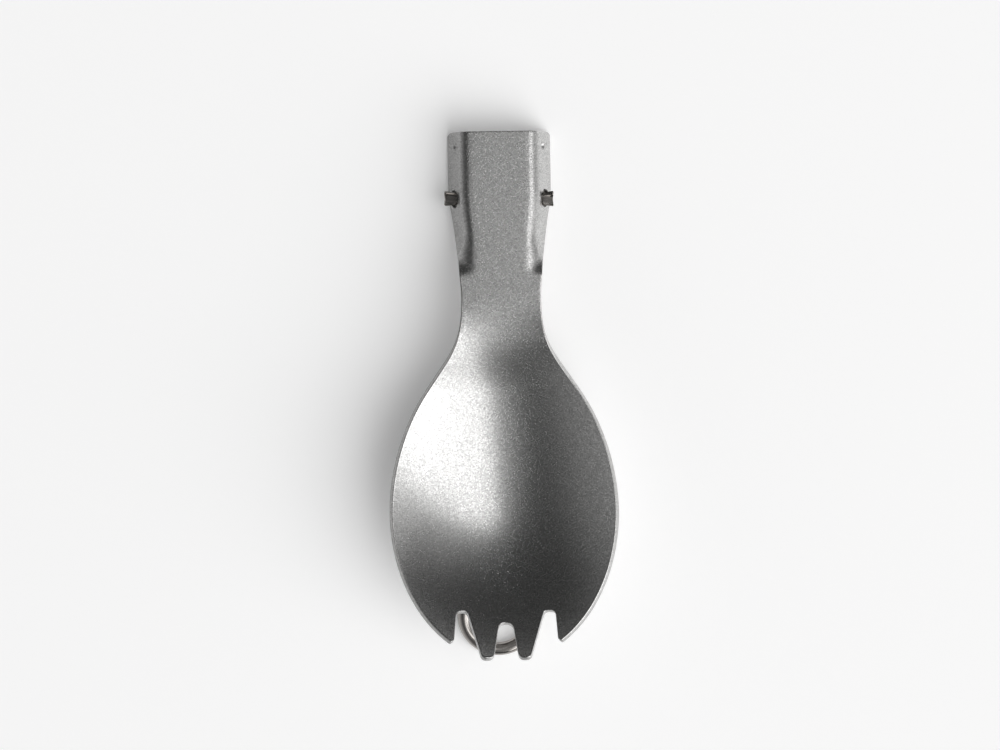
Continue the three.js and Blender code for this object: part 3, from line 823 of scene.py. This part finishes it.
# ---- The table, the light and the camera -----------------------------------------------------------------
# A plain white table top, a big soft window to the right, and a dim grey room round it. Where the camera
# sees the table its white is even. Where the metal mirrors it, painted window light is added, brightest on
# the window's side.

TABLE_HALF = 3
TABLE_WHITE = (0.93, 0.93, 0.93, 1)
PURE_WHITE = (1, 1, 1, 1)
# The white added where the camera sees the table, and the painted window light added where the metal
# mirrors it: little to the left, and more to the right, on the window's side. From and To are metres across
# and strengths.
TABLE_SEEN = 0.22
TABLE_PAINTED_WINDOW_LIGHT = (("From Min", -0.02), ("From Max", 0.02), ("To Min", 0.02), ("To Max", 0.55))

table = bpy.data.meshes.new("table_top")
corners = [(x * TABLE_HALF, y * TABLE_HALF, 0) for x, y in ((-1, -1), (1, -1), (1, 1), (-1, 1))]
table.from_pydata(corners, [], [(0, 1, 2, 3)])
table_top = bpy.data.objects.new("table_top", table)
bpy.context.scene.collection.objects.link(table_top)
paper = bpy.data.materials.new("table_white")
paper.use_nodes = True
tree = paper.node_tree
shader = tree.nodes["Principled BSDF"]
shader.inputs["Base Color"].default_value = TABLE_WHITE
shader.inputs["Roughness"].default_value = 0.9
shader.inputs["Specular IOR Level"].default_value = 0.1
seen = tree.nodes.new("ShaderNodeLightPath")
table_place = tree.nodes.new("ShaderNodeSeparateXYZ")
tree.links.new(tree.nodes.new("ShaderNodeTexCoord").outputs["Object"], table_place.inputs[0])
# Painted window light: a glow that only the metal's reflections see, rising from left to right across the
# table.
painted_light_falloff = tree.nodes.new("ShaderNodeMapRange")
painted_light_falloff.interpolation_type = "SMOOTHSTEP"
for title, value in TABLE_PAINTED_WINDOW_LIGHT:
    painted_light_falloff.inputs[title].default_value = value
tree.links.new(table_place.outputs["X"], painted_light_falloff.inputs["Value"])
painted_mirrored_light = maths(tree, "MULTIPLY", seen.outputs["Is Glossy Ray"], painted_light_falloff.outputs["Result"])
white = maths(tree, "MULTIPLY_ADD", seen.outputs["Is Camera Ray"], TABLE_SEEN, painted_mirrored_light)
shader.inputs["Emission Color"].default_value = PURE_WHITE
tree.links.new(white, shader.inputs["Emission Strength"])
table.materials.append(paper)


def sky_direction(turn_degrees, height_degrees):
    """The direction toward a place round the room, turned from +X and raised from the table."""
    turn, height = math.radians(turn_degrees), math.radians(height_degrees)
    return Vector((math.cos(height) * math.cos(turn), math.cos(height) * math.sin(turn), math.sin(height)))


# The window is a tall panel that leans over sideways. Its foot stands low over the table, to the lower
# right of the spork as the camera sees it.
WINDOW_WIDTH = 3.05
WINDOW_HEIGHT = 15.8
WINDOW_WATTS_PER_SQUARE_METRE = 6.4
WINDOW_DISTANCE = 2.5
WINDOW_RAISED = 7.8
WINDOW_LEAN = math.radians(-17)

window = bpy.data.lights.new("window", "AREA")
window.shape = "RECTANGLE"
window.size = WINDOW_WIDTH
window.size_y = WINDOW_HEIGHT
window.energy = WINDOW_WATTS_PER_SQUARE_METRE * WINDOW_WIDTH * WINDOW_HEIGHT
toward = sky_direction(-46, 15)
right = Vector((0, 0, 1)).cross(toward).normalized()
upward = toward.cross(right)
sill = right * math.cos(WINDOW_LEAN) + upward * math.sin(WINDOW_LEAN)
post = upward * math.cos(WINDOW_LEAN) - right * math.sin(WINDOW_LEAN)
window_place = bpy.data.objects.new("window", window)
facing = Matrix((sill, post, toward)).transposed().to_4x4()
window_place.matrix_world = Matrix.Translation(toward * WINDOW_DISTANCE + post * WINDOW_RAISED) @ facing
bpy.context.scene.collection.objects.link(window_place)

room = bpy.data.worlds.new("grey_room")
room.use_nodes = True
tree = room.node_tree
direction = tree.nodes.new("ShaderNodeTexCoord").outputs["Generated"]


def wall_glow(toward, start, end, strength):
    """A soft patch of daylight on the room's walls, about one direction."""
    facing = tree.nodes.new("ShaderNodeVectorMath")
    facing.operation = "DOT_PRODUCT"
    facing.inputs[1].default_value = toward
    tree.links.new(direction, facing.inputs[0])
    glow = tree.nodes.new("ShaderNodeMapRange")
    glow.interpolation_type = "SMOOTHSTEP"
    glow.inputs["From Min"].default_value = start
    glow.inputs["From Max"].default_value = end
    glow.inputs["To Max"].default_value = strength
    tree.links.new(facing.outputs["Value"], glow.inputs["Value"])
    return glow.outputs["Result"]


# Each patch has its direction, the cosines of the angles from it where it starts and is full, and its
# strength: a wide one high on the right, a tight one beside the window, a wide one opposite, and a low one
# straight to the right.
DIM_GREY = 0.067
DAYLIGHT_PATCHES = (
    (sky_direction(-25, 52), 0.47, 1.07, 0.5),
    (sky_direction(-26, 21), 0.93, 0.97, 0.95),
    (sky_direction(203, -15), 0.21, 1.93, 1.5),
    (sky_direction(3, 3), 0.93, 0.985, 0.6),
)
room_light = DIM_GREY
for toward, start, end, strength in DAYLIGHT_PATCHES:
    room_light = maths(tree, "ADD", wall_glow(toward, start, end, strength), room_light)
tree.links.new(room_light, tree.nodes["Background"].inputs["Strength"])
tree.nodes["Background"].inputs["Color"].default_value = PURE_WHITE
bpy.context.scene.world = room

# The camera looks straight down on the leaning head. Its aim is in millimetres on the head, as x and y from
# the middle of the channel's free end.
CAMERA_AIM = (-0.39, -42.77)
CAMERA_ROLL = math.radians(0.85)
CAMERA_DISTANCE = 0.9

lens = bpy.data.cameras.new("camera")
lens.lens = 185
lens.sensor_width = 36
lens.clip_start = 0.01
camera = bpy.data.objects.new("camera", lens)
bpy.context.scene.collection.objects.link(camera)
aim = head_place @ (Vector((*CAMERA_AIM, 0)) * MILLIMETRE)
right = head_place.to_3x3() @ Vector((math.cos(CAMERA_ROLL), -math.sin(CAMERA_ROLL), 0))
upward = head_place.to_3x3() @ Vector((math.sin(CAMERA_ROLL), math.cos(CAMERA_ROLL), 0))
turn = Matrix((right, upward, head_up)).transposed()
camera.matrix_world = Matrix.Translation(aim + head_up * CAMERA_DISTANCE) @ turn.to_4x4()
bpy.context.scene.camera = camera

bpy.context.scene.view_settings.view_transform = "Standard"

bpy.context.view_layer.update()
